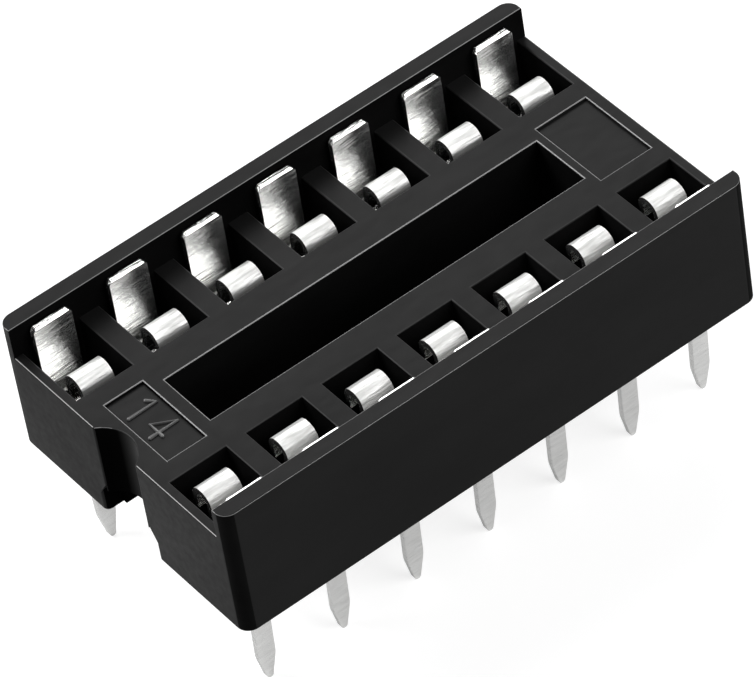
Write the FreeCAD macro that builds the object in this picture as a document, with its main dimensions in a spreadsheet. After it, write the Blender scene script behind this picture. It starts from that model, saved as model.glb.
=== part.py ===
import FreeCAD, Part
import math
import os
import Sketcher

# A 14-way dual-in-line socket: one moulded housing and fourteen formed contacts.
# Frame: X runs along the rows, Y across them, Z up. The origin lies under the middle
# of the socket, level with the tips of the tails. The notched end points to -X.

# Driving sizes in millimetres, apart from the count and the angle
SIZES = [
    ("pins_per_row", 7, "contacts in one row"),
    ("pitch", 2.54, "from one contact to the next along a row"),
    ("row_spacing", 7.62, "from row to row, at the tails"),
    ("stack_clearance", 0.08, "what the body gives up so that sockets stack end to end"),
    ("body_width", 10.16, "across both side walls"),
    ("body_depth", 3.40, "from the underside of the rows to the deck"),
    ("wall_rise", 1.05, "side walls above the deck"),
    ("wall_thickness", 0.54, "side walls above the deck"),
    ("corner_radius", 0.40, "upright outer corners"),
    ("bridge_thickness", 2.45, "deck over the channel, at both ends of the window"),
    ("channel_width", 2.04, "between the two rows underneath, and the window above it"),
    ("relief_length", 0.55, "corner reliefs at the ends of the channel, along X"),
    ("relief_height", 0.86, "corner reliefs, up from the underside to the slanted top"),
    ("relief_slope", 0.34, "rise of that top, from the outer side to the inner side"),
    ("relief_depth", 0.13, "corner reliefs, into each row"),
    ("relief_edge", 0.18, "rounding of their upright edges at the end faces"),
    ("window_margin", 2.45, "from each end face to the window"),
    ("pad_width", 2.80, "sunk pads, across the body"),
    ("pad_depth", 0.10, "sunk pads, below the deck"),
    ("number_pad_margin", 0.73, "from the notched end face to its pad"),
    ("number_pad_land", 0.46, "between that pad and the window"),
    ("plain_pad_margin", 0.40, "from the far end face to its pad"),
    ("plain_pad_land", 0.30, "between that pad and the window"),
    ("notch_width", 1.86, "orientation notch, across the body at the end face"),
    ("notch_depth", 0.52, "orientation notch, into the end face"),
    ("notch_edge", 0.10, "rounding of the upright edges of the notch"),
    ("rim_radius", 0.05, "rounding of the rims at the deck"),
    ("floor_thickness", 0.40, "under the contacts"),
    ("seat_height", 1.00, "narrow lower part of each pocket, which holds the contact"),
    ("side_clearance", 0.30, "beside the blade in the wide part of the pocket"),
    ("leaf_clearance", 0.35, "room for the leaf to spring inwards"),
    ("fit_clearance", 0.02, "round the contact where the housing holds it"),
    ("slot_clearance", 0.06, "round the tail where it leaves the housing"),
    ("sheet_thickness", 0.20, "contact strip"),
    ("blade_width", 1.26, "contact strip at the blade and the base"),
    ("blade_stand_off", 0.07, "from the side wall to the blade"),
    ("blade_drop", 0.25, "top of the blade below the top of the wall"),
    ("blade_corner", 0.10, "cut corners of the blade"),
    ("blade_lead_in", 0.05, "rounding of the blade's upper inner edge, where a lead goes in"),
    ("base_bend", 0.25, "bends of the base, at the middle of the strip"),
    ("leg_offset", 0.45, "inner leg of the base, inwards from the row line"),
    ("leg_rise", 0.65, "bend at the top of the leg, above the pocket floor"),
    ("leg_bend", 0.40, "radius of that bend"),
    ("touch_gap", 0.08, "between leaf and blade before a lead goes in"),
    ("touch_rise", 1.35, "middle of the bow that grips the lead, above the pocket floor"),
    ("touch_bend", 0.35, "radius of the bow"),
    ("neck_offset", 0.63, "neck of the leaf, inwards from the row line"),
    ("neck_rise", 2.15, "bend below the neck, above the pocket floor"),
    ("neck_bend", 0.30, "radius of that bend"),
    ("crown_width", 0.64, "from side to side of the crown, at the middle of the strip"),
    ("crown_bend", 0.30, "radius of the crown"),
    ("crown_drop", 0.05, "top of the crown below the deck"),
    ("leaf_end_drop", 0.85, "free end of the leaf below the deck"),
    ("leaf_width", 1.04, "contact strip above the leg"),
    ("tail_reach", 3.76, "tails below the underside of the rows"),
    ("tail_width", 0.55, "tails along the row"),
    ("tail_taper", 0.90, "tapered end of the tail"),
    ("tail_tip", 0.10, "radius of the tip"),
    ("tail_shoulder", 1.50, "rounding where the taper starts"),
    ("tail_lean", 2.90, "degrees that each tail leans towards the middle"),
]

# Levels and places that follow from the driving sizes
BODY_LENGTH = "(Sizes.pins_per_row * Sizes.pitch - Sizes.stack_clearance)"
SEAT_LEVEL = "Sizes.tail_reach"
FLOOR_LEVEL = f"({SEAT_LEVEL} + Sizes.floor_thickness)"
DECK_LEVEL = f"({SEAT_LEVEL} + Sizes.body_depth)"
WALL_LEVEL = f"({DECK_LEVEL} + Sizes.wall_rise)"
ROOF_LEVEL = f"({DECK_LEVEL} - Sizes.bridge_thickness)"
WALL_FACE = "(Sizes.body_width / 2 - Sizes.wall_thickness)"
ROW_LINE = "(Sizes.row_spacing / 2)"
HALF_SHEET = "(Sizes.sheet_thickness / 2)"
NOTCH_RADIUS = "((Sizes.notch_width ^ 2 / 4 + Sizes.notch_depth ^ 2) / (2 * Sizes.notch_depth))"

# Places of the strip's middle line, measured outwards from the row line
BLADE_LINE = f"({WALL_FACE} - {ROW_LINE} - Sizes.blade_stand_off - {HALF_SHEET})"
LEG_LINE = "(-Sizes.leg_offset)"
TOUCH_LINE = f"({BLADE_LINE} - Sizes.sheet_thickness - Sizes.touch_gap)"
NECK_LINE = "(-Sizes.neck_offset)"
LEAF_END_LINE = "(-Sizes.neck_offset - Sizes.crown_width)"
POCKET_INNER = f"({ROW_LINE} + {LEAF_END_LINE} - {HALF_SHEET} - Sizes.leaf_clearance)"
SEAT_INNER = f"({ROW_LINE} + {LEG_LINE} - {HALF_SHEET} - Sizes.fit_clearance)"
SEAT_OUTER = f"({ROW_LINE} + {BLADE_LINE} + {HALF_SHEET} + Sizes.fit_clearance)"
FIRST_PIN = "(-(Sizes.pins_per_row - 1) * Sizes.pitch / 2)"

doc = FreeCAD.newDocument("ic_socket")


def fill_sheet():
    """Write the driving sizes into the spreadsheet, each with its alias."""
    made = doc.addObject("Spreadsheet::Sheet", "Sizes")
    for row, (name, value, note) in enumerate(SIZES, start=1):
        made.set(f"A{row}", name)
        made.set(f"B{row}", str(value))
        made.set(f"C{row}", note)
        made.setAlias(f"B{row}", name)
    doc.recompute()
    return made


sheet = fill_sheet()


def number(expression):
    """Work out an expression of the driving sizes."""
    return float(sheet.evalExpression(str(expression)))


def new_body(name):
    body = doc.addObject("PartDesign::Body", name)
    body.Label = name
    return body


def new_sketch(body, name, plane, level=None):
    """Sketch on one of the body's own planes, moved along the plane's normal by level."""
    sketch = body.newObject("Sketcher::SketchObject", name)
    origin_plane = next(item for item in body.Origin.OriginFeatures if item.Role == plane)
    sketch.AttachmentSupport = [(origin_plane, "")]
    sketch.MapMode = "FlatFace"
    if level is not None:
        sketch.AttachmentOffset = FreeCAD.Placement(FreeCAD.Vector(0, 0, number(level)), FreeCAD.Rotation())
        sketch.setExpression("AttachmentOffset.Base.z", level)
    return sketch


def bind(sketch, constraint, expression):
    """Add a constraint whose value is an expression."""
    index = sketch.addConstraint(constraint)
    sketch.setExpression(f"Constraints[{index}]", expression)


def hold(sketch, geometry, point, axis, expression):
    """Hold a point at a signed distance from the sketch's origin along its x or y axis."""
    kind = "DistanceX" if axis == "x" else "DistanceY"
    value = number(expression)
    if value < 0:
        bind(sketch, Sketcher.Constraint(kind, geometry, point, -1, 1, -value), f"-({expression})")
    else:
        bind(sketch, Sketcher.Constraint(kind, -1, 1, geometry, point, value), expression)


def add_outline(sketch, corners):
    """Closed outline of straight lines. Each corner is a pair of expressions.

    A slanted line lies between two upright ones.
    """
    places = [FreeCAD.Vector(number(x), number(y), 0) for x, y in corners]
    count = len(places)
    lines = []
    for index in range(count):
        line = Part.LineSegment(places[index], places[(index + 1) % count])
        lines.append(sketch.addGeometry(line, False))
    for index, line in enumerate(lines):
        following = lines[(index + 1) % count]
        sketch.addConstraint(Sketcher.Constraint("Coincident", line, 2, following, 1))
        start, end = corners[index], corners[(index + 1) % count]
        if start[0] == end[0]:
            sketch.addConstraint(Sketcher.Constraint("Vertical", line))
            hold(sketch, line, 1, "x", start[0])
        elif start[1] == end[1]:
            sketch.addConstraint(Sketcher.Constraint("Horizontal", line))
            hold(sketch, line, 1, "y", start[1])
        else:
            hold(sketch, line, 1, "y", start[1])
            hold(sketch, line, 2, "y", end[1])


def add_rectangle(sketch, left, bottom, right, top):
    add_outline(sketch, [(left, bottom), (right, bottom), (right, top), (left, top)])


def finish_feature(body, feature):
    body.Tip = feature
    doc.recompute()
    return feature


def new_pad(body, name, sketch, length, centred=False):
    pad = body.newObject("PartDesign::Pad", name)
    pad.Profile = sketch
    pad.Length = number(length)
    pad.setExpression("Length", length)
    pad.SideType = "Symmetric" if centred else "One side"
    return finish_feature(body, pad)


def new_pocket(body, name, sketch, depth=None, reverse=False):
    """Cut a sketch to a depth, or right through, and make sure that it removes material."""
    before = body.Shape.Volume
    pocket = body.newObject("PartDesign::Pocket", name)
    pocket.Profile = sketch
    pocket.Reversed = reverse
    if depth is None:
        pocket.Type = "ThroughAll"
    else:
        pocket.Length = number(depth)
        pocket.setExpression("Length", depth)
    finish_feature(body, pocket)
    if body.Shape.Volume >= before:
        raise RuntimeError(f"{name} removes nothing")
    return pocket


def repeat_along_row(body, name, originals):
    pattern = body.newObject("PartDesign::LinearPattern", name)
    pattern.Originals = originals
    axis = next(item for item in body.Origin.OriginFeatures if item.Role == "X_Axis")
    pattern.Direction = (axis, [""])
    span = "(Sizes.pins_per_row - 1) * Sizes.pitch"
    pattern.Length = number(span)
    pattern.setExpression("Length", span)
    pattern.Occurrences = int(number("Sizes.pins_per_row"))
    pattern.setExpression("Occurrences", "Sizes.pins_per_row")
    return finish_feature(body, pattern)


def mirror(body, name, originals, plane):
    mirrored = body.newObject("PartDesign::Mirrored", name)
    mirrored.Originals = originals
    origin_plane = next(item for item in body.Origin.OriginFeatures if item.Role == plane)
    mirrored.MirrorPlane = (origin_plane, [""])
    return finish_feature(body, mirrored)


def edges_where(shape, test):
    """Names of the edges whose bounding box passes the test."""
    return [f"Edge{index}" for index, edge in enumerate(shape.Edges, start=1) if test(edge)]


def round_edges(body, name, radius, test):
    """Fillet the edges of the body so far that pass the test."""
    base = body.Tip
    names = edges_where(base.Shape, test)
    if not names:
        raise RuntimeError(f"{name} finds no edge")
    fillet = body.newObject("PartDesign::Fillet", name)
    fillet.Base = (base, names)
    fillet.Radius = number(radius)
    fillet.setExpression("Radius", radius)
    return finish_feature(body, fillet)


def near(value, expression, slack=1e-4):
    return abs(value - number(expression)) < slack


def is_straight(edge):
    return isinstance(edge.Curve, Part.Line)


# The moulded housing

def housing_section(body):
    """The end view: two rows, the channel between them, the deck and the side walls."""
    sketch = new_sketch(body, "section_sketch", "YZ_Plane")
    half_width = "Sizes.body_width / 2"
    half_channel = "Sizes.channel_width / 2"
    add_outline(sketch, [
        (f"-{half_width}", SEAT_LEVEL),
        (f"-{half_channel}", SEAT_LEVEL),
        (f"-{half_channel}", ROOF_LEVEL),
        (half_channel, ROOF_LEVEL),
        (half_channel, SEAT_LEVEL),
        (half_width, SEAT_LEVEL),
        (half_width, WALL_LEVEL),
        (WALL_FACE, WALL_LEVEL),
        (WALL_FACE, DECK_LEVEL),
        (f"-{WALL_FACE}", DECK_LEVEL),
        (f"-{WALL_FACE}", WALL_LEVEL),
        (f"-{half_width}", WALL_LEVEL),
    ])
    return new_pad(body, "section", sketch, BODY_LENGTH, centred=True)


def is_outer_corner(edge):
    box = edge.BoundBox
    at_end = near(abs(box.Center.x), f"{BODY_LENGTH} / 2") and box.XLength < 1e-4
    at_side = near(abs(box.Center.y), "Sizes.body_width / 2") and box.YLength < 1e-4
    return at_end and at_side


def is_rim(edge):
    """The deck's edges at its ends and round its openings, but not along the walls."""
    box = edge.BoundBox
    at_wall = box.YLength < 1e-4 and near(abs(box.Center.y), WALL_FACE)
    return near(box.ZMin, DECK_LEVEL) and near(box.ZMax, DECK_LEVEL) and not at_wall


def housing_openings(body):
    """Window, sunk pads and the notch, all cut down from the deck."""
    end = f"{BODY_LENGTH} / 2"
    window = new_sketch(body, "window_sketch", "XY_Plane", DECK_LEVEL)
    reach = f"({end} - Sizes.window_margin)"
    half_window = "Sizes.channel_width / 2"
    add_rectangle(window, f"-{reach}", f"-{half_window}", reach, half_window)
    new_pocket(body, "window", window)

    pads = new_sketch(body, "pads_sketch", "XY_Plane", DECK_LEVEL)
    half_pad = "Sizes.pad_width / 2"
    add_rectangle(pads, f"-({end} - Sizes.number_pad_margin)", f"-{half_pad}",
                  f"-({reach} + Sizes.number_pad_land)", half_pad)
    add_rectangle(pads, f"{reach} + Sizes.plain_pad_land", f"-{half_pad}",
                  f"{end} - Sizes.plain_pad_margin", half_pad)
    new_pocket(body, "pads", pads, "Sizes.pad_depth")

    notch = new_sketch(body, "notch_sketch", "XY_Plane", DECK_LEVEL)
    add_circle(notch, f"(Sizes.notch_depth - {end} - {NOTCH_RADIUS})", NOTCH_RADIUS)
    new_pocket(body, "notch", notch)
    round_edges(body, "notch_edges", "Sizes.notch_edge", is_notch_edge)


def add_circle(sketch, centre, radius):
    """A circle on the sketch's own X axis."""
    middle = FreeCAD.Vector(number(centre), 0, 0)
    circle = sketch.addGeometry(Part.Circle(middle, FreeCAD.Vector(0, 0, 1), number(radius)), False)
    sketch.addConstraint(Sketcher.Constraint("PointOnObject", circle, 3, -1))
    hold(sketch, circle, 3, "x", centre)
    bind(sketch, Sketcher.Constraint("Radius", circle, number(radius)), radius)


def is_notch_edge(edge):
    """Upright edges where the notch meets the end face."""
    box = edge.BoundBox
    upright = box.XLength < 1e-4 and box.YLength < 1e-4
    return upright and near(box.XMin, f"-{BODY_LENGTH} / 2") and near(abs(box.YMin), "Sizes.notch_width / 2")


def housing_reliefs(body):
    """Small reliefs at the lower corners of the channel, at both ends, with slanted tops."""
    sketch = new_sketch(body, "relief_sketch", "YZ_Plane", f"{BODY_LENGTH} / 2")
    inner = "(Sizes.notch_width / 2)"
    outer = "(Sizes.channel_width / 2 + Sizes.relief_depth)"
    low = f"({SEAT_LEVEL} + Sizes.relief_height)"
    high = f"({low} + Sizes.relief_slope)"
    for side in ("", "-"):
        add_outline(sketch, [
            (f"{side}{inner}", SEAT_LEVEL),
            (f"{side}{outer}", SEAT_LEVEL),
            (f"{side}{outer}", low),
            (f"{side}{inner}", high),
        ])
    relief = new_pocket(body, "relief", sketch, "Sizes.relief_length")
    mirror(body, "relief_far_end", [relief], "YZ_Plane")
    round_edges(body, "relief_edges", "Sizes.relief_edge", is_relief_edge)


def is_relief_edge(edge):
    """Upright edges where the reliefs open into the end faces."""
    box = edge.BoundBox
    upright = box.XLength < 1e-4 and box.YLength < 1e-4 and near(box.ZMin, SEAT_LEVEL)
    at_end = near(abs(box.Center.x), f"{BODY_LENGTH} / 2")
    return upright and at_end and near(abs(box.Center.y), "Sizes.channel_width / 2 + Sizes.relief_depth")


def add_row_pair(sketch, left, right, inner, outer):
    """The same rectangle in both rows."""
    add_rectangle(sketch, left, inner, right, outer)
    add_rectangle(sketch, left, f"-{outer}", right, f"-{inner}")


def housing_pockets(body):
    """Wide pockets, the narrow seats under them and the slots for the tails."""
    wide = "(Sizes.blade_width / 2 + Sizes.side_clearance)"
    narrow = "(Sizes.blade_width / 2 + Sizes.fit_clearance)"
    slot = "(Sizes.tail_width / 2 + Sizes.slot_clearance)"
    gap = f"({HALF_SHEET} + Sizes.slot_clearance)"

    pocket_sketch = new_sketch(body, "pocket_sketch", "XY_Plane", DECK_LEVEL)
    add_row_pair(pocket_sketch, f"({FIRST_PIN} - {wide})", f"({FIRST_PIN} + {wide})", POCKET_INNER, WALL_FACE)
    wide_depth = "Sizes.body_depth - Sizes.floor_thickness - Sizes.seat_height"
    pocket = new_pocket(body, "pocket", pocket_sketch, wide_depth)
    repeat_along_row(body, "pockets", [pocket])

    seat_sketch = new_sketch(body, "seat_sketch", "XY_Plane", DECK_LEVEL)
    add_row_pair(seat_sketch, f"({FIRST_PIN} - {narrow})", f"({FIRST_PIN} + {narrow})", SEAT_INNER, SEAT_OUTER)
    seat = new_pocket(body, "seat", seat_sketch, "Sizes.body_depth - Sizes.floor_thickness")
    repeat_along_row(body, "seats", [seat])

    slot_sketch = new_sketch(body, "slot_sketch", "XY_Plane", DECK_LEVEL)
    add_row_pair(slot_sketch, f"({FIRST_PIN} - {slot})", f"({FIRST_PIN} + {slot})",
                 f"({ROW_LINE} - {gap})", f"({ROW_LINE} + {gap})")
    tail_slot = new_pocket(body, "slot", slot_sketch)
    repeat_along_row(body, "slots", [tail_slot])


def make_housing():
    body = new_body("housing")
    housing_section(body)
    round_edges(body, "outer_corners", "Sizes.corner_radius", is_outer_corner)
    housing_openings(body)
    housing_reliefs(body)
    housing_pockets(body)
    round_edges(body, "rims", "Sizes.rim_radius", is_rim)
    return body


# The formed contact, in its own frame: X along the row, Y outwards from the row line

def strip_line():
    """The middle line of the strip, from the top of the blade to the free end of the leaf.

    Each entry is a corner of the line as a pair of expressions, with the radius that rounds it.
    """
    base_level = f"({FLOOR_LEVEL} + {HALF_SHEET})"
    crown_level = f"({DECK_LEVEL} - Sizes.crown_drop - {HALF_SHEET})"
    return [
        (BLADE_LINE, f"({WALL_LEVEL} - Sizes.blade_drop)", None),
        (BLADE_LINE, base_level, "Sizes.base_bend"),
        (LEG_LINE, base_level, "Sizes.base_bend"),
        (LEG_LINE, f"({FLOOR_LEVEL} + Sizes.leg_rise)", "Sizes.leg_bend"),
        (TOUCH_LINE, f"({FLOOR_LEVEL} + Sizes.touch_rise)", "Sizes.touch_bend"),
        (NECK_LINE, f"({FLOOR_LEVEL} + Sizes.neck_rise)", "Sizes.neck_bend"),
        (NECK_LINE, crown_level, "Sizes.crown_bend"),
        (LEAF_END_LINE, crown_level, "Sizes.crown_bend"),
        (LEAF_END_LINE, f"({DECK_LEVEL} - Sizes.leaf_end_drop)", None),
    ]


def bent_line(sketch, corners):
    """Straight runs joined by tangent arcs, each corner held where the two runs would meet."""
    places = [FreeCAD.Vector(number(y), number(z), 0) for y, z, radius in corners]
    starts = [places[0]]
    ends = []
    arcs = []
    for index in range(1, len(places) - 1):
        corner = places[index]
        radius = number(corners[index][2])
        back = (places[index - 1] - corner).normalize()
        ahead = (places[index + 1] - corner).normalize()
        half_angle = back.getAngle(ahead) / 2
        ends.append(corner + back * (radius / math.tan(half_angle)))
        starts.append(corner + ahead * (radius / math.tan(half_angle)))
        middle = (back + ahead).normalize()
        centre = corner + middle * (radius / math.sin(half_angle))
        arcs.append(Part.Arc(ends[-1], centre - middle * radius, starts[-1]))
    ends.append(places[-1])

    lines = [sketch.addGeometry(Part.LineSegment(start, end), False) for start, end in zip(starts, ends)]
    for index, arc in enumerate(arcs):
        bend = sketch.addGeometry(arc, False)
        corner = sketch.addGeometry(Part.Point(places[index + 1]), True)
        y, z, radius = corners[index + 1]
        joints = ((lines[index], 2, ends[index]), (lines[index + 1], 1, starts[index + 1]))
        for line, line_end, joint in joints:
            arc_start = sketch.getPoint(bend, 1)
            arc_end = 1 if arc_start.distanceToPoint(joint) < 1e-6 else 2
            sketch.addConstraint(Sketcher.Constraint("Tangent", line, line_end, bend, arc_end))
            sketch.addConstraint(Sketcher.Constraint("PointOnObject", corner, 1, line))
        hold(sketch, corner, 1, "x", y)
        hold(sketch, corner, 1, "y", z)
        bind(sketch, Sketcher.Constraint("Radius", bend, number(radius)), radius)
    hold(sketch, lines[0], 1, "x", corners[0][0])
    hold(sketch, lines[0], 1, "y", corners[0][1])
    hold(sketch, lines[-1], 2, "x", corners[-1][0])
    hold(sketch, lines[-1], 2, "y", corners[-1][1])


def contact_strip(body):
    """The strip swept along its middle line at the full width of the blade."""
    path = new_sketch(body, "strip_path", "YZ_Plane")
    bent_line(path, strip_line())
    section = new_sketch(body, "strip_section", "XY_Plane", f"({WALL_LEVEL} - Sizes.blade_drop)")
    half_width = "Sizes.blade_width / 2"
    add_rectangle(section, f"-{half_width}", f"({BLADE_LINE} - {HALF_SHEET})",
                  half_width, f"({BLADE_LINE} + {HALF_SHEET})")
    doc.recompute()
    strip = body.newObject("PartDesign::AdditivePipe", "strip")
    strip.Profile = section
    strip.Spine = (path, [f"Edge{index}" for index in range(1, len(path.Shape.Edges) + 1)])
    return finish_feature(body, strip)


def contact_leaf(body):
    """Trim both sides of the strip above the leg, where it becomes the narrower leaf."""
    sketch = new_sketch(body, "leaf_sketch", "YZ_Plane", "Sizes.leaf_width / 2")
    inner = f"({LEAF_END_LINE} - Sizes.sheet_thickness)"
    outer = f"({TOUCH_LINE} + {HALF_SHEET} + Sizes.touch_gap / 2)"
    add_rectangle(sketch, inner, f"({FLOOR_LEVEL} + Sizes.leg_rise)", outer, WALL_LEVEL)
    side = new_pocket(body, "leaf_side", sketch, "Sizes.blade_width - Sizes.leaf_width", reverse=True)
    mirror(body, "leaf_other_side", [side], "YZ_Plane")


def contact_tail(body):
    """The tail: a flat pin with a tapered, rounded end, leaning towards the middle."""
    lean = "Sizes.tail_lean"
    sketch = new_sketch(body, "tail_sketch", "XZ_Plane")
    sketch.AttachmentOffset = FreeCAD.Placement(
        FreeCAD.Vector(0, number(FLOOR_LEVEL), 0),
        FreeCAD.Rotation(FreeCAD.Vector(1, 0, 0), -number(lean)))
    sketch.setExpression("AttachmentOffset.Base.y", FLOOR_LEVEL)
    sketch.setExpression("AttachmentOffset.Rotation.Angle", lean)
    sketch.setExpression("AttachmentOffset.Rotation.Axis.x", "-1")

    half_width = "(Sizes.tail_width / 2)"
    length = f"(({FLOOR_LEVEL} - {HALF_SHEET} * sin({lean} * 1 deg)) / cos({lean} * 1 deg))"
    shoulder = f"(-({length} - Sizes.tail_taper))"
    tip_centre = f"(-({length} - Sizes.tail_tip))"
    add_tail_outline(sketch, half_width, HALF_SHEET, shoulder, tip_centre, "Sizes.tail_tip")
    new_pad(body, "tail", sketch, "Sizes.sheet_thickness", centred=True)
    round_edges(body, "tail_shoulders", "Sizes.tail_shoulder", is_tail_shoulder)


def add_tail_outline(sketch, half_width, top, shoulder, tip_centre, tip_radius):
    """Straight sides, tapered flanks and a round tip, the same on both sides of the Y axis."""
    radius = number(tip_radius)
    centre = FreeCAD.Vector(0, number(tip_centre), 0)
    corner = FreeCAD.Vector(number(half_width), number(shoulder), 0)
    reach = (corner - centre).Length
    turn = math.acos(radius / reach) - math.atan2(corner.y - centre.y, corner.x)
    touch = centre + FreeCAD.Vector(radius * math.cos(turn), -radius * math.sin(turn), 0)
    upper = FreeCAD.Vector(number(half_width), number(top), 0)

    def mirrored(place):
        return FreeCAD.Vector(-place.x, place.y, 0)

    def line(start, end):
        return sketch.addGeometry(Part.LineSegment(start, end), False)

    head = line(mirrored(upper), upper)
    sides = [line(upper, corner), line(mirrored(upper), mirrored(corner))]
    flanks = [line(corner, touch), line(mirrored(corner), mirrored(touch))]
    lowest = centre - FreeCAD.Vector(0, radius, 0)
    tip = sketch.addGeometry(Part.Arc(mirrored(touch), lowest, touch), False)

    sketch.addConstraint(Sketcher.Constraint("Horizontal", head))
    hold(sketch, head, 1, "y", top)
    for side, flank, end, place in zip(sides, flanks, (2, 1), (half_width, f"(-{half_width})")):
        sketch.addConstraint(Sketcher.Constraint("Coincident", head, end, side, 1))
        sketch.addConstraint(Sketcher.Constraint("Coincident", side, 2, flank, 1))
        sketch.addConstraint(Sketcher.Constraint("Vertical", side))
        hold(sketch, side, 1, "x", place)
        hold(sketch, flank, 1, "y", shoulder)
        sketch.addConstraint(Sketcher.Constraint("Tangent", flank, 2, tip, end))
    sketch.addConstraint(Sketcher.Constraint("PointOnObject", tip, 3, -2))
    hold(sketch, tip, 3, "y", tip_centre)
    bind(sketch, Sketcher.Constraint("Radius", tip, radius), tip_radius)


def is_tail_shoulder(edge):
    """Short edges across the sheet, where the sides of the tail turn into its flanks."""
    box = edge.BoundBox
    across = box.XLength < 1e-4 and near(edge.Length, "Sizes.sheet_thickness")
    at_side = near(abs(box.Center.x), "Sizes.tail_width / 2")
    low = box.ZMax < number(SEAT_LEVEL) / 2
    return across and at_side and low and is_straight(edge)


def is_blade_corner(edge):
    """The two upper edges across the thickness of the blade."""
    box = edge.BoundBox
    return near(box.ZMin, f"({WALL_LEVEL} - Sizes.blade_drop)") and box.XLength < 1e-4


def blade_corners(body):
    base = body.Tip
    chamfer = body.newObject("PartDesign::Chamfer", "blade_corners")
    chamfer.Base = (base, edges_where(base.Shape, is_blade_corner))
    chamfer.Size = number("Sizes.blade_corner")
    chamfer.setExpression("Size", "Sizes.blade_corner")
    return finish_feature(body, chamfer)


def is_lead_in_edge(edge):
    """The upper edge of the blade on its inner side."""
    box = edge.BoundBox
    at_top = near(box.ZMin, f"({WALL_LEVEL} - Sizes.blade_drop)")
    return at_top and box.YLength < 1e-4 and near(box.YMin, f"({BLADE_LINE} - {HALF_SHEET})")


def make_contact_form():
    """The contact that all fourteen repeat."""
    body = new_body("contact_form")
    contact_strip(body)
    contact_leaf(body)
    blade_corners(body)
    round_edges(body, "blade_lead_in", "Sizes.blade_lead_in", is_lead_in_edge)
    contact_tail(body)
    return body


def place_contact(form, name, pin_place, outwards):
    """A clone of the form at its pin. Outwards is 1 in the row on +Y and -1 in the row on -Y."""
    body = new_body(name)
    body.BaseFeature = form
    body.Tip = body.Group[0]
    body.Placement = FreeCAD.Placement(
        FreeCAD.Vector(number(pin_place), outwards * number(ROW_LINE), 0),
        FreeCAD.Rotation(FreeCAD.Vector(0, 0, 1), 0 if outwards > 0 else 180))
    body.setExpression("Placement.Base.x", pin_place)
    body.setExpression("Placement.Base.y", f"{outwards} * {ROW_LINE}")
    return body


def make_contacts():
    """Contact 1 is beside the notch on -Y. They count along that row and back along the other."""
    form = make_contact_form()
    count = int(number("Sizes.pins_per_row"))
    contacts = []
    for index in range(count):
        place = f"({FIRST_PIN} + {index} * Sizes.pitch)"
        contacts.append(place_contact(form, f"contact_{index + 1:02d}", place, -1))
    for index in range(count):
        place = f"(-{FIRST_PIN} - {index} * Sizes.pitch)"
        contacts.append(place_contact(form, f"contact_{count + index + 1:02d}", place, 1))
    return contacts


def check_document():
    doc.recompute()
    for item in doc.Objects:
        if "Invalid" in item.State or "Error" in item.State:
            raise RuntimeError(f"{item.Name} failed: {item.getStatusString()}")


def export(parts):
    os.makedirs("parts", exist_ok=True)
    for part in parts:
        if part.Shape.isNull() or not part.Shape.isValid():
            raise RuntimeError(f"{part.Label} has no valid shape")
        if len(part.Shape.Solids) != 1:
            raise RuntimeError(f"{part.Label} is not one solid")
    for part in parts:
        part.Shape.exportStep(f"parts/{part.Label}.step")
        print(part.Label, "volume", round(part.Shape.Volume, 4))


parts = [make_housing()] + make_contacts()
check_document()
export(parts)
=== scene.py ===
# %% [markdown]
# A 14-way IC socket, seen from above at its notched end. The real one has two materials only:
# a black moulded housing, and fourteen bright contacts that are stamped and bent from tinned
# strip. The measured solids are loaded first, so that every piece sits where it belongs.

# %% Load the measured solids
import math

import bmesh
import bpy
from mathutils import Matrix, Vector


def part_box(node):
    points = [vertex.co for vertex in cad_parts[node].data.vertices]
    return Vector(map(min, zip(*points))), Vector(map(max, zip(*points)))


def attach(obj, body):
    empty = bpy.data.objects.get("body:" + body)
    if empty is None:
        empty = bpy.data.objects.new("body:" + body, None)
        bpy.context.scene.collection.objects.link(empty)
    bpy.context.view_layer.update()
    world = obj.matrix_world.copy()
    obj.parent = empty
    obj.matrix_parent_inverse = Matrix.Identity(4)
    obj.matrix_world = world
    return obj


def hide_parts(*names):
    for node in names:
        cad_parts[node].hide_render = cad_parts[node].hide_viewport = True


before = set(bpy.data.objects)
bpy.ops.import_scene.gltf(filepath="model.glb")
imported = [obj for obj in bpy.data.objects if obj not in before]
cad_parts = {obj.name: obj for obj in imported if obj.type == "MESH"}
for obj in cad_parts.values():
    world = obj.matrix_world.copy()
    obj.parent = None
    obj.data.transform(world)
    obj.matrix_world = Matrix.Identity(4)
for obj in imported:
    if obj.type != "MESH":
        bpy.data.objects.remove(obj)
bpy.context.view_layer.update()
print("solids loaded:", len(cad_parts))

# %% [markdown]
# Blender works in metres and the socket is a few millimetres long, so sizes are written in
# millimetres and multiplied by MM. The levels of the deck and of the sunk pads are worked out
# from the top of the housing, which the solids give.

# %% Sizes that the pieces share
MM = 0.001
WALL_RISE = 1.05 * MM
PAD_DEPTH = 0.10 * MM
housing_low, housing_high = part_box("housing")
DECK_LEVEL = housing_high.z - WALL_RISE
PAD_LEVEL = DECK_LEVEL - PAD_DEPTH
END_FACE = housing_high.x
print("deck level, mm:", round(DECK_LEVEL / MM, 3))

# %% [markdown]
# The solids come as loose triangles, one set for each face, so light can't run smoothly round
# a bend. A dressed copy of each solid has its doubles merged and its flat triangles dissolved
# into clean faces. It then shades smoothly over the bends and stays crisp at the edges. The
# copy stands for the solid and lies exactly on it. Operators act on everything that is
# selected, so a small helper selects one object only.

# %% A dressed copy of a solid
MERGE_DISTANCE = 0.0005 * MM
FLAT_ANGLE = math.radians(0.5)
SMOOTH_ANGLE = math.radians(32)


def select_only(piece):
    bpy.ops.object.select_all(action="DESELECT")
    piece.select_set(True)
    bpy.context.view_layer.objects.active = piece


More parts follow.
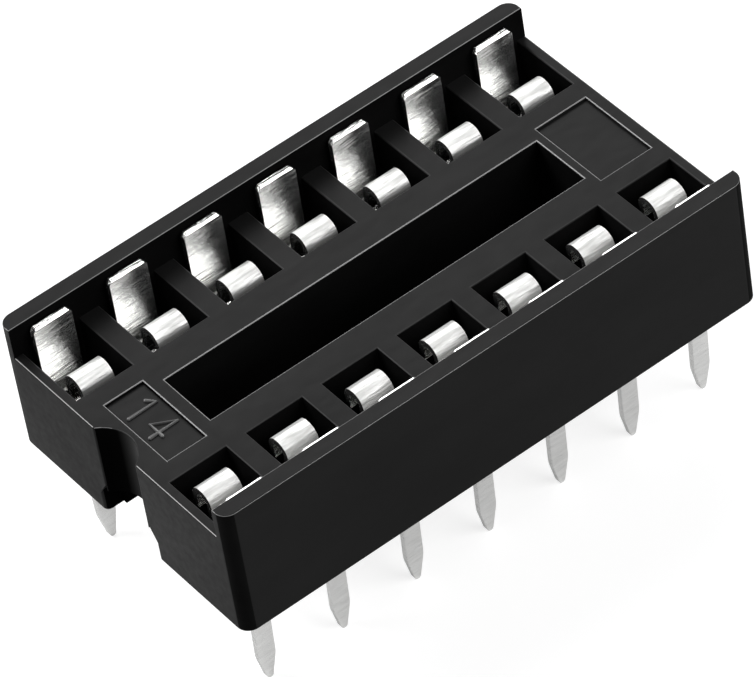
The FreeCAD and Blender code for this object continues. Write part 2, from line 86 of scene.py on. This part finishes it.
def dressed_copy(node_name, piece_name):
    """A clean copy of one solid, which stands in its place."""
    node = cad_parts[node_name]
    piece = bpy.data.objects.new(piece_name, node.data.copy())
    bpy.context.scene.collection.objects.link(piece)
    piece.data.materials.clear()
    select_only(piece)
    bpy.ops.object.mode_set(mode="EDIT")
    bpy.ops.mesh.select_all(action="SELECT")
    bpy.ops.mesh.customdata_custom_splitnormals_clear()
    bpy.ops.mesh.remove_doubles(threshold=MERGE_DISTANCE)
    bpy.ops.mesh.dissolve_limited(angle_limit=FLAT_ANGLE)
    bpy.ops.object.mode_set(mode="OBJECT")
    bpy.ops.object.shade_smooth_by_angle(angle=SMOOTH_ANGLE)
    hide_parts(node_name)
    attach(piece, "root")
    return piece


housing = dressed_copy("housing", "moulded_housing")
print("housing faces:", len(housing.data.polygons))

# %% [markdown]
# A mould never leaves a knife edge. The rims at the deck are already rounded in the solid. The
# tops of the walls, the long lower edges and the upright edges at both ends get a small bevel
# here, so that each of them catches a thin line of light. A test picks the edges, by where
# they lie and by how sharply they turn.

# %% Break the remaining outer edges of the housing
EDGE_BREAK = 0.045 * MM
WALL_TOP_BREAK = 0.025 * MM
BREAK_STEPS = 3
ON_FACE = 0.002 * MM
SHARP_TURN = math.radians(60)


def is_sharp(edge):
    """An outward edge that turns sharply."""
    if not edge.is_manifold or not edge.is_convex:
        return False
    return edge.calc_face_angle(0) > SHARP_TURN


def is_lower_edge(edge):
    """A sharp edge on the underside or on an end face."""
    one, two = (vertex.co for vertex in edge.verts)
    underneath = max(one.z, two.z) < housing_low.z + ON_FACE
    at_end = min(abs(one.x), abs(two.x)) > END_FACE - ON_FACE
    return (underneath or at_end) and is_sharp(edge)


def is_wall_top_edge(edge):
    lower_end = min(vertex.co.z for vertex in edge.verts)
    return lower_end > housing_high.z - ON_FACE and is_sharp(edge)


def bevel_edges(piece, test, width, clamp_overlap):
    """Bevel the edges of a piece that pass the test, and count them."""
    select_only(piece)
    bpy.ops.object.mode_set(mode="EDIT")
    bpy.ops.mesh.select_mode(type="EDGE")
    bpy.ops.mesh.select_all(action="DESELECT")
    mesh = bmesh.from_edit_mesh(piece.data)
    count = 0
    for edge in mesh.edges:
        if test(edge):
            edge.select = True
            count += 1
    bmesh.update_edit_mesh(piece.data)
    bpy.ops.mesh.bevel(
        offset=width, segments=BREAK_STEPS, affect="EDGES", clamp_overlap=clamp_overlap)
    bpy.ops.object.mode_set(mode="OBJECT")
    return count


wall_tops = bevel_edges(housing, is_wall_top_edge, WALL_TOP_BREAK, clamp_overlap=False)
lower_edges = bevel_edges(housing, is_lower_edge, EDGE_BREAK, clamp_overlap=True)
print("edges broken at the wall tops and elsewhere:", wall_tops, lower_edges)

# %% [markdown]
# The housing gets six finishes by place: the satin flats; the rounded corners, painted darker
# as shade; the rims, painted paler and made shinier as a painted highlight; the rims of the
# pockets, with only a faint painted highlight; the wall of the notch, with painted shade; and
# the rougher faces that look into an opening, painted black as shade. Only the middle of a
# rounding gets the pale rim colour, so the painted highlight stays a thin line. The places are
# told apart by level, by the way a face looks and by the distance from the middle of the
# socket.

# %% Sort the housing's faces by finish
RIM_RADIUS = 0.05 * MM
RIM_SLACK = 0.004 * MM
POCKET_INNER = 2.05 * MM
POCKET_END = 8.60 * MM
NOTCH_DEEPEST = 8.20 * MM
NOTCH_HALF = 1.10 * MM
WALL_INSIDE = 4.60 * MM

# Limits on the X, Y and Z parts of a face's normal, which is 1 long
RIM_LIFT = 0.60
RIM_LEVEL = 0.96
RIM_FAR_SIDE = -0.35
STEEP = 0.45
CORNER_TURN = 0.20

FLAT, CORNER, RIM, POCKET_RIM, NOTCH_WALL, INNER = range(6)
FINISH_NAMES = ("flat", "corner", "rim", "pocket rim", "notch wall", "inner")


def is_rim_face(face):
    """A slanted face that looks up, within one rim's radius below the deck or the wall tops."""
    heights = [housing.data.vertices[index].co.z for index in face.vertices]
    for level in (DECK_LEVEL, housing_high.z):
        if min(heights) > level - RIM_RADIUS - RIM_SLACK and max(heights) < level + RIM_SLACK:
            return RIM_LIFT < face.normal.z < RIM_LEVEL
    return False


def finish_of(face):
    """One of the six finishes for a face of the housing."""
    along = abs(face.center.x)
    across = abs(face.center.y)
    in_notch = face.center.x < -NOTCH_DEEPEST and across < NOTCH_HALF
    # Rims get a painted highlight: a faint one beside the pockets and on the notch away from its far
    # side, a pale one elsewhere.
    if is_rim_face(face):
        at_deck = face.center.z < DECK_LEVEL + RIM_SLACK
        beside_pocket = at_deck and across > POCKET_INNER and along < POCKET_END
        # A faint painted highlight beside the pockets and on the notch rim away from its far side.
        faint_highlight = face.normal.y >= RIM_FAR_SIDE if in_notch else beside_pocket
        return POCKET_RIM if faint_highlight else RIM
    if abs(face.normal.z) >= STEEP:
        return FLAT
    in_plain_pad = face.center.x > 0 and PAD_LEVEL < face.center.z < DECK_LEVEL
    # Faces that look into an opening are painted black as shade, and the notch wall gets its own painted
    # shade.
    if across < WALL_INSIDE and along < END_FACE - EDGE_BREAK and not in_plain_pad:
        return NOTCH_WALL if in_notch else INNER
    # The rounded corners of the walls are painted darker as shade.
    turned = min(abs(face.normal.x), abs(face.normal.y)) > CORNER_TURN
    return CORNER if turned and across > WALL_INSIDE else FLAT


face_finishes = [finish_of(face) for face in housing.data.polygons]
for index, finish_name in enumerate(FINISH_NAMES):
    print(finish_name, "faces:", face_finishes.count(index))

# %% [markdown]
# Each contact is a copy of its own solid. Shearing leaves a fine edge on the strip, and a very
# small bevel modifier gives it one, so that the edges glint as the real ones do.

# %% The contacts
STRIP_EDGE = 0.012 * MM
STRIP_EDGE_STEPS = 2
STRIP_SHARP_TURN = math.radians(50)
contacts = []
for node_name in sorted(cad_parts):
    if not node_name.startswith("contact"):
        continue
    strip = dressed_copy(node_name, node_name.replace("contact", "leaf_contact"))
    select_only(strip)
    bpy.ops.object.modifier_add(type="BEVEL")
    edge_bevel = strip.modifiers[-1]
    edge_bevel.width = STRIP_EDGE
    edge_bevel.segments = STRIP_EDGE_STEPS
    edge_bevel.limit_method = "ANGLE"
    edge_bevel.angle_limit = STRIP_SHARP_TURN
    bpy.ops.object.modifier_apply(modifier=edge_bevel.name)
    bpy.ops.object.shade_smooth_by_angle(angle=SMOOTH_ANGLE)
    contacts.append(strip)
print("contacts dressed:", len(contacts))

# %% [markdown]
# The sunk pad by the notch carries the number of ways, 14, as raised strokes with a round
# section and round ends. The strokes are curves with a bevel, because a mould maker cuts them
# with one round cutter, and a ball rounds each end. They are pressed half into the pad and
# turned into a mesh.

# %% Strokes of the raised number
STROKE_RADIUS = 0.055 * MM
STROKE_RISE = 0.02 * MM
STROKE_ROUNDNESS = 4
BALL_SEGMENTS = 16
BALL_RINGS = 8
DIGIT_HEIGHT = 0.92 * MM
NUMBER_CENTRE = Vector((-7.48 * MM, 0.02 * MM, PAD_LEVEL + STROKE_RISE))

# Strokes in units of the digit's height: x to the reader's right, y up the digit
STROKES = [
    [(-0.63, -0.5), (-0.63, 0.5), (-0.88, 0.30)],
    [(0.42, -0.5), (0.42, 0.5), (0.0, -0.18), (0.60, -0.18)],
]


def digit_point(across, up):
    """A point of a digit on the pad, with the digit's up along +X and the reading along -Y."""
    return NUMBER_CENTRE + Vector((up * DIGIT_HEIGHT, -across * DIGIT_HEIGHT, 0))


def stroke_object(points):
    """A tube along the points."""
    curve = bpy.data.curves.new("stroke", "CURVE")
    curve.dimensions = "3D"
    curve.bevel_depth = STROKE_RADIUS
    curve.bevel_resolution = STROKE_ROUNDNESS
    curve.use_fill_caps = True
    line = curve.splines.new("POLY")
    line.points.add(len(points) - 1)
    for place, point in zip(line.points, points):
        place.co = (*digit_point(*point), 1)
    stroke = bpy.data.objects.new("stroke", curve)
    bpy.context.scene.collection.objects.link(stroke)
    select_only(stroke)
    bpy.ops.object.convert(target="MESH")
    return bpy.context.object


def stroke_end(point):
    """A ball that rounds one end of a stroke."""
    bpy.ops.mesh.primitive_uv_sphere_add(
        segments=BALL_SEGMENTS, ring_count=BALL_RINGS, radius=STROKE_RADIUS,
        location=digit_point(*point))
    return bpy.context.object


strokes = [stroke_object(points) for points in STROKES]
strokes += [stroke_end(point) for points in STROKES for point in (points[0], points[-1])]
print("tubes and balls:", len(strokes))

# %% [markdown]
# The tubes and balls are joined into one object, as the real number is cut in one go. It is
# moulded with the housing.

# %% Join the number
select_only(strokes[0])
for stroke in strokes:
    stroke.select_set(True)
bpy.ops.object.join()
raised_number = bpy.context.object
raised_number.name = "raised_number"
bpy.ops.object.shade_smooth_by_angle(angle=SMOOTH_ANGLE)
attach(raised_number, "root")
print("faces of the number:", len(raised_number.data.polygons))

# %% [markdown]
# Both materials have a fine grain: the mould's texture on the plastic, the rolling of the
# strip on the metal. One node group makes it, from noise on the object's own coordinates, and
# each material places it with its own stretch and detail.

# %% The grain group
COARSE_SCALE = 0.12
COARSE_DETAIL = 3


def add_node(tree, kind, **settings):
    node = tree.nodes.new(kind)
    for key, value in settings.items():
        setattr(node, key, value)
    return node


def make_grain_group():
    """Two noises in the same stretch: a fine one for heights and a coarse one for clouds."""
    group = bpy.data.node_groups.new("grain", "ShaderNodeTree")
    group.interface.new_socket(name="Stretch", in_out="INPUT", socket_type="NodeSocketVector")
    group.interface.new_socket(name="Detail", in_out="INPUT", socket_type="NodeSocketFloat")
    group.interface.new_socket(name="Height", in_out="OUTPUT", socket_type="NodeSocketFloat")
    group.interface.new_socket(name="Mottle", in_out="OUTPUT", socket_type="NodeSocketFloat")
    entry = add_node(group, "NodeGroupInput")
    leave = add_node(group, "NodeGroupOutput")
    place = add_node(group, "ShaderNodeTexCoord")
    stretch = add_node(group, "ShaderNodeVectorMath", operation="MULTIPLY")
    fine = add_node(group, "ShaderNodeTexNoise")
    coarse = add_node(group, "ShaderNodeTexNoise")
    fine.inputs["Scale"].default_value = 1
    coarse.inputs["Scale"].default_value = COARSE_SCALE
    coarse.inputs["Detail"].default_value = COARSE_DETAIL
    link = group.links.new
    link(place.outputs["Object"], stretch.inputs[0])
    link(entry.outputs["Stretch"], stretch.inputs[1])
    link(stretch.outputs["Vector"], fine.inputs["Vector"])
    link(stretch.outputs["Vector"], coarse.inputs["Vector"])
    link(entry.outputs["Detail"], fine.inputs["Detail"])
    link(fine.outputs["Fac"], leave.inputs["Height"])
    link(coarse.outputs["Fac"], leave.inputs["Mottle"])
    return group


grain = make_grain_group()
print("nodes in the grain group:", len(grain.nodes))

# %% [markdown]
# These helpers serve both materials: one places the grain, one starts a new Principled
# material, one stretches a mask to a range of values, one blends two colours by a mask, and
# one turns heights into bump.

# %% Helpers for materials
MASK_LOW = 0.3
MASK_HIGH = 0.7


def place_grain(tree, stretch, detail):
    """The stretch counts waves of noise to the millimetre along X, Y and Z."""
    node = add_node(tree, "ShaderNodeGroup", node_tree=grain)
    node.inputs["Stretch"].default_value = [waves / MM for waves in stretch]
    node.inputs["Detail"].default_value = detail
    return node


def new_material(name):
    material = bpy.data.materials.new(name)
    material.use_nodes = True
    return material, material.node_tree, material.node_tree.nodes["Principled BSDF"]


def add_range(tree, source, low, high, from_low=MASK_LOW, from_high=MASK_HIGH):
    """Stretch a mask between two values to the range low to high."""
    node = add_node(tree, "ShaderNodeMapRange")
    node.inputs["From Min"].default_value = from_low
    node.inputs["From Max"].default_value = from_high
    node.inputs["To Min"].default_value = low
    node.inputs["To Max"].default_value = high
    tree.links.new(source, node.inputs["Value"])
    return node.outputs["Result"]


def add_blend(tree, mask, one, two):
    """Colour one where the mask is 0 and colour two where it is 1."""
    node = add_node(tree, "ShaderNodeMix", data_type="RGBA")
    node.inputs["A"].default_value = (*one, 1)
    node.inputs["B"].default_value = (*two, 1)
    tree.links.new(mask, node.inputs["Factor"])
    return node.outputs["Result"]


def add_bump(tree, shader, height, strength, distance):
    node = add_node(tree, "ShaderNodeBump")
    node.inputs["Strength"].default_value = strength
    node.inputs["Distance"].default_value = distance
    tree.links.new(height, node.inputs["Height"])
    tree.links.new(node.outputs["Normal"], shader.inputs["Normal"])


def grey(level):
    return (level, level, level)


print("noise is stretched from", MASK_LOW, "to", MASK_HIGH)

# %% [markdown]
# The housing is glass-filled plastic: nearly black, satin, with a fine even texture and faint
# cloudy differences in gloss from the flow of the melt. Each finish is the same recipe with
# its own greys, roughness and sheen, because the real housing is one moulding. Only the flats'
# greys are its own colour; the other finishes' greys are painted light and shade.

# %% Black moulded plastic
TEXTURE_STRETCH = (14, 14, 14)
TEXTURE_DETAIL = 5
TEXTURE_STRENGTH = 0.15
TEXTURE_DEPTH = 0.004 * MM
CLOUD_STRETCH = (1.6, 4, 4)
CLOUD_DETAIL = 3
PLASTIC_IOR = 1.5


def make_plastic(name, greys, roughness, sheen):
    """Greys are the darkest and the lightest, and roughness is the lowest and the highest."""
    material, tree, shader = new_material(name)
    texture = place_grain(tree, TEXTURE_STRETCH, TEXTURE_DETAIL)
    clouds = place_grain(tree, CLOUD_STRETCH, CLOUD_DETAIL)
    shade = add_range(tree, clouds.outputs["Mottle"], 0, 1)
    colour = add_blend(tree, shade, *map(grey, greys))
    tree.links.new(colour, shader.inputs["Base Color"])
    gloss = add_range(tree, clouds.outputs["Height"], *roughness)
    tree.links.new(gloss, shader.inputs["Roughness"])
    shader.inputs["IOR"].default_value = PLASTIC_IOR
    shader.inputs["Specular IOR Level"].default_value = sheen
    add_bump(tree, shader, texture.outputs["Height"], TEXTURE_STRENGTH, TEXTURE_DEPTH)
    return material


# The flats have the housing's own grey. The corners and the inner faces are painted darker as shade, and
# the rims and the number are painted paler as highlights.
plastic = make_plastic("black_moulded_plastic", greys=(0.009, 0.012), roughness=(0.36, 0.46), sheen=0.06)
painted_shade_corner_plastic = make_plastic("rounded_corners_painted_shade", greys=(0.005, 0.007), roughness=(0.50, 0.60), sheen=0.01)
rim_plastic = make_plastic("rims_painted_highlight", greys=(0.14, 0.22), roughness=(0.26, 0.34), sheen=0.5)
pocket_rim_plastic = make_plastic("pocket_rims_faint_painted_highlight", greys=(0.014, 0.022), roughness=(0.30, 0.40), sheen=0.12)
painted_highlight_number_plastic = make_plastic("raised_strokes_painted_highlight", greys=(0.04, 0.16), roughness=(0.22, 0.30), sheen=0.5)
painted_shade_inner_plastic = make_plastic("inner_faces_painted_shade", greys=(0.003, 0.006), roughness=(0.55, 0.70), sheen=0)
# The number's paler greys are a painted highlight for the glints on its strokes.
raised_number.data.materials.clear()
raised_number.data.materials.append(painted_highlight_number_plastic)
print("finish of the number:", painted_highlight_number_plastic.name)

# %% [markdown]
# The wall of the notch bends from the side that faces away from the light to the side where
# it meets the end face in front. Its colour is painted shade: black on the first side and
# slowly paler towards the second, blended along Y. It has no sheen.

# %% Plastic of the notch's wall
NOTCH_BLACK = grey(0.003)
NOTCH_PALE = grey(0.12)
NOTCH_BLACK_FROM = 0.45 * MM
NOTCH_PALE_FROM = -0.90 * MM
NOTCH_ROUGHNESS = 0.55


def make_notch_plastic():
    material, tree, shader = new_material("notch_wall_painted_shade")
    place = add_node(tree, "ShaderNodeTexCoord")
    split = add_node(tree, "ShaderNodeSeparateXYZ")
    tree.links.new(place.outputs["Object"], split.inputs["Vector"])
    across = add_range(tree, split.outputs["Y"], 0, 1, NOTCH_BLACK_FROM, NOTCH_PALE_FROM)
    colour = add_blend(tree, across, NOTCH_BLACK, NOTCH_PALE)
    tree.links.new(colour, shader.inputs["Base Color"])
    shader.inputs["Roughness"].default_value = NOTCH_ROUGHNESS
    shader.inputs["Specular IOR Level"].default_value = 0
    return material


notch_plastic = make_notch_plastic()
housing.data.materials.clear()
for finish in (plastic, painted_shade_corner_plastic, rim_plastic, pocket_rim_plastic, notch_plastic, painted_shade_inner_plastic):
    housing.data.materials.append(finish)
housing.data.polygons.foreach_set("material_index", face_finishes)
print("finishes on the housing:", len(housing.data.materials))

# %% [markdown]
# The contacts are tinned copper alloy strip. Rolling leaves fine lines, and the tin has a
# soft, slightly uneven sheen. The lines run along X on every contact. The blades mirror the
# black pocket beside them. The crowns get a rougher, less metallic copy of the tin, whose
# darker greys are painted shade.

# %% Tinned strip
LINE_STRETCH = (1.0, 9, 9)
LINE_DETAIL = 4
LINE_STRENGTH = 1
LINE_DEPTH = 0.035 * MM
PATCH_STRETCH = (1.5, 9, 9)
PATCH_DETAIL = 3
TIN_BRIGHT = (0.97, 0.97, 0.96)
TIN_DULL = (0.86, 0.86, 0.85)
# The crowns' darker greys are painted shade.
CROWN_BRIGHT = (0.71, 0.71, 0.70)
CROWN_DULL = (0.48, 0.48, 0.47)
CROWN_DEPTH = 0.45 * MM
CROWN_REACH = 3.90 * MM


def make_tin(name, bright, dull, metallic, roughness):
    """Roughness is the lowest and the highest."""
    material, tree, shader = new_material(name)
    lines = place_grain(tree, LINE_STRETCH, LINE_DETAIL)
    patches = place_grain(tree, PATCH_STRETCH, PATCH_DETAIL)
    shade = add_range(tree, patches.outputs["Height"], 0, 1)
    colour = add_blend(tree, shade, bright, dull)
    tree.links.new(colour, shader.inputs["Base Color"])
    gloss = add_range(tree, patches.outputs["Height"], *roughness)
    tree.links.new(gloss, shader.inputs["Roughness"])
    shader.inputs["Metallic"].default_value = metallic
    add_bump(tree, shader, lines.outputs["Height"], LINE_STRENGTH, LINE_DEPTH)
    return material


def is_crown(face):
    """A face at the top of the leaf, which lies nearer to the middle than the blade."""
    return face.center.z > DECK_LEVEL - CROWN_DEPTH and abs(face.center.y) < CROWN_REACH


tin = make_tin("tinned_strip", TIN_BRIGHT, TIN_DULL, metallic=0.97, roughness=(0.18, 0.26))
painted_shade_crown_tin = make_tin("crowns_painted_shade", CROWN_BRIGHT, CROWN_DULL, metallic=0.5, roughness=(0.38, 0.50))
for strip in contacts:
    strip.data.materials.append(tin)
    strip.data.materials.append(painted_shade_crown_tin)
    crown_faces = [int(is_crown(face)) for face in strip.data.polygons]
    strip.data.polygons.foreach_set("material_index", crown_faces)
print("faces of the last crown:", sum(crown_faces))

# %% [markdown]
# The socket stands on its tails on a plain pale floor. To the camera and to reflections the
# floor is nearly white, as a studio sweep looks, because it glows a little and keeps only a
# soft shadow. For the light that bounces off it, it is a plain grey without any glow, so that
# the long side in front stays as dark as black plastic is.

# %% Floor
FLOOR_SIZE = 3
FLOOR_SEEN = grey(0.40)
FLOOR_BOUNCE = grey(0.30)
FLOOR_ROUGHNESS = 0.9
CAMERA_GLOW = grey(0.79)
GLOSSY_GLOW = grey(0.32)
NO_GLOW = grey(0)

bpy.ops.object.select_all(action="DESELECT")
bpy.ops.mesh.primitive_plane_add(size=FLOOR_SIZE, location=(0, 0, 0))
floor = bpy.context.object
floor.name = "floor"


def add_seen_mask(tree, path):
    """1 for the camera and for reflections, 0 for light that bounces."""
    either = add_node(tree, "ShaderNodeMath", operation="MAXIMUM")
    tree.links.new(path.outputs["Is Camera Ray"], either.inputs[0])
    tree.links.new(path.outputs["Is Glossy Ray"], either.inputs[1])
    return either.outputs["Value"]


floor_material, floor_tree, floor_shader = new_material("pale_floor")
floor_path = add_node(floor_tree, "ShaderNodeLightPath")
floor_colour = add_blend(floor_tree, add_seen_mask(floor_tree, floor_path), FLOOR_BOUNCE, FLOOR_SEEN)
floor_tree.links.new(floor_colour, floor_shader.inputs["Base Color"])
reflected_glow = add_blend(floor_tree, floor_path.outputs["Is Glossy Ray"], NO_GLOW, GLOSSY_GLOW)
floor_glow = add_blend(floor_tree, floor_path.outputs["Is Camera Ray"], NO_GLOW, CAMERA_GLOW)
floor_tree.links.new(reflected_glow, floor_glow.node.inputs["A"])
floor_tree.links.new(floor_glow, floor_shader.inputs["Emission Color"])
floor_shader.inputs["Emission Strength"].default_value = 1
floor_shader.inputs["Roughness"].default_value = FLOOR_ROUGHNESS
floor_shader.inputs["Specular IOR Level"].default_value = 0
floor.data.materials.append(floor_material)
print("floor, metres across:", FLOOR_SIZE)

# %% [markdown]
# Around the socket is a plain white world. The camera and reflections see it in full, and it
# gives only a little light of its own, so that the openings stay dark.

# %% Surroundings
WORLD_LIGHT = 0.15
WORLD_SEEN = 1.0
world = bpy.data.worlds.new("studio")
bpy.context.scene.world = world
world.use_nodes = True
world_tree = world.node_tree
background = world_tree.nodes["Background"]
background.inputs["Color"].default_value = (*grey(1), 1)
world_path = add_node(world_tree, "ShaderNodeLightPath")
world_seen = add_seen_mask(world_tree, world_path)
strength = add_range(world_tree, world_seen, WORLD_LIGHT, WORLD_SEEN, from_low=0, from_high=1)
world_tree.links.new(strength, background.inputs["Strength"])
print("world strength as light and as seen:", WORLD_LIGHT, WORLD_SEEN)

# %% [markdown]
# Three soft lamps. The key stands behind the notched end and leaves the inner face of the far
# wall in shadow. One stands at the back, where the flat deck mirrors it towards the camera as a
# satin sheen. The largest stands in front, for the long side and the rims that face it.

# %% Lamps
AIM = Vector((0, 0, 6 * MM))
LAMP_DISTANCE = 0.30


def direction(azimuth, elevation):
    """From the socket outwards, with angles in radians. Azimuth 0 is in front, at -Y."""
    level = math.cos(elevation)
    return Vector((math.sin(azimuth) * level, -math.cos(azimuth) * level, math.sin(elevation)))


def add_lamp(name, azimuth, elevation, size, watts):
    """A square area lamp that looks at the socket, with angles in degrees."""
    away = direction(math.radians(azimuth), math.radians(elevation))
    data = bpy.data.lights.new(name, "AREA")
    data.shape = "SQUARE"
    data.size = size
    data.energy = watts
    lamp = bpy.data.objects.new(name, data)
    lamp.location = AIM + away * LAMP_DISTANCE
    lamp.rotation_euler = (-away).to_track_quat("-Z", "Y").to_euler()
    bpy.context.scene.collection.objects.link(lamp)
    print(name, "watts:", watts)


add_lamp("key_softbox", azimuth=-135, elevation=40, size=0.16, watts=0.72)
add_lamp("back_softbox", azimuth=149, elevation=46, size=0.20, watts=0.40)
add_lamp("front_softbox", azimuth=36, elevation=32, size=0.24, watts=0.68)

# %% [markdown]
# The camera looks down at the notched end with a long lens, from the same side as the photo,
# and is rolled a little. It aims at a point beside the middle of the deck, which puts the
# socket in the middle of the frame.

# %% Camera
VIEW_AZIMUTH = math.radians(-31.0)
VIEW_ELEVATION = math.radians(45.04)
VIEW_ROLL = math.radians(-9.91)
VIEW_DISTANCE = 171.5 * MM
VIEW_RIGHT = 0.02 * MM
VIEW_UP = -1.63 * MM
LENS = 304.8
SENSOR = 36
CLIP_START = 10 * MM

back = direction(VIEW_AZIMUTH, VIEW_ELEVATION)
right = Vector((math.cos(VIEW_AZIMUTH), math.sin(VIEW_AZIMUTH), 0))
up = back.cross(right)
turned_right = right * math.cos(VIEW_ROLL) + up * math.sin(VIEW_ROLL)
turned_up = up * math.cos(VIEW_ROLL) - right * math.sin(VIEW_ROLL)

camera_data = bpy.data.cameras.new("camera")
camera_data.lens = LENS
camera_data.sensor_width = SENSOR
camera_data.clip_start = CLIP_START
camera = bpy.data.objects.new("camera", camera_data)
bpy.context.scene.collection.objects.link(camera)
middle = Vector((0, 0, DECK_LEVEL)) + turned_right * VIEW_RIGHT + turned_up * VIEW_UP
facing = Matrix((turned_right, turned_up, back)).transposed().to_4x4()
camera.matrix_world = Matrix.Translation(middle + back * VIEW_DISTANCE) @ facing
bpy.context.scene.camera = camera
print("camera to the deck, mm:", round(VIEW_DISTANCE / MM, 1))

# %% [markdown]
# The plain view transform shows each colour about as it is written.

# %% Finish
bpy.context.scene.view_settings.view_transform = "Standard"
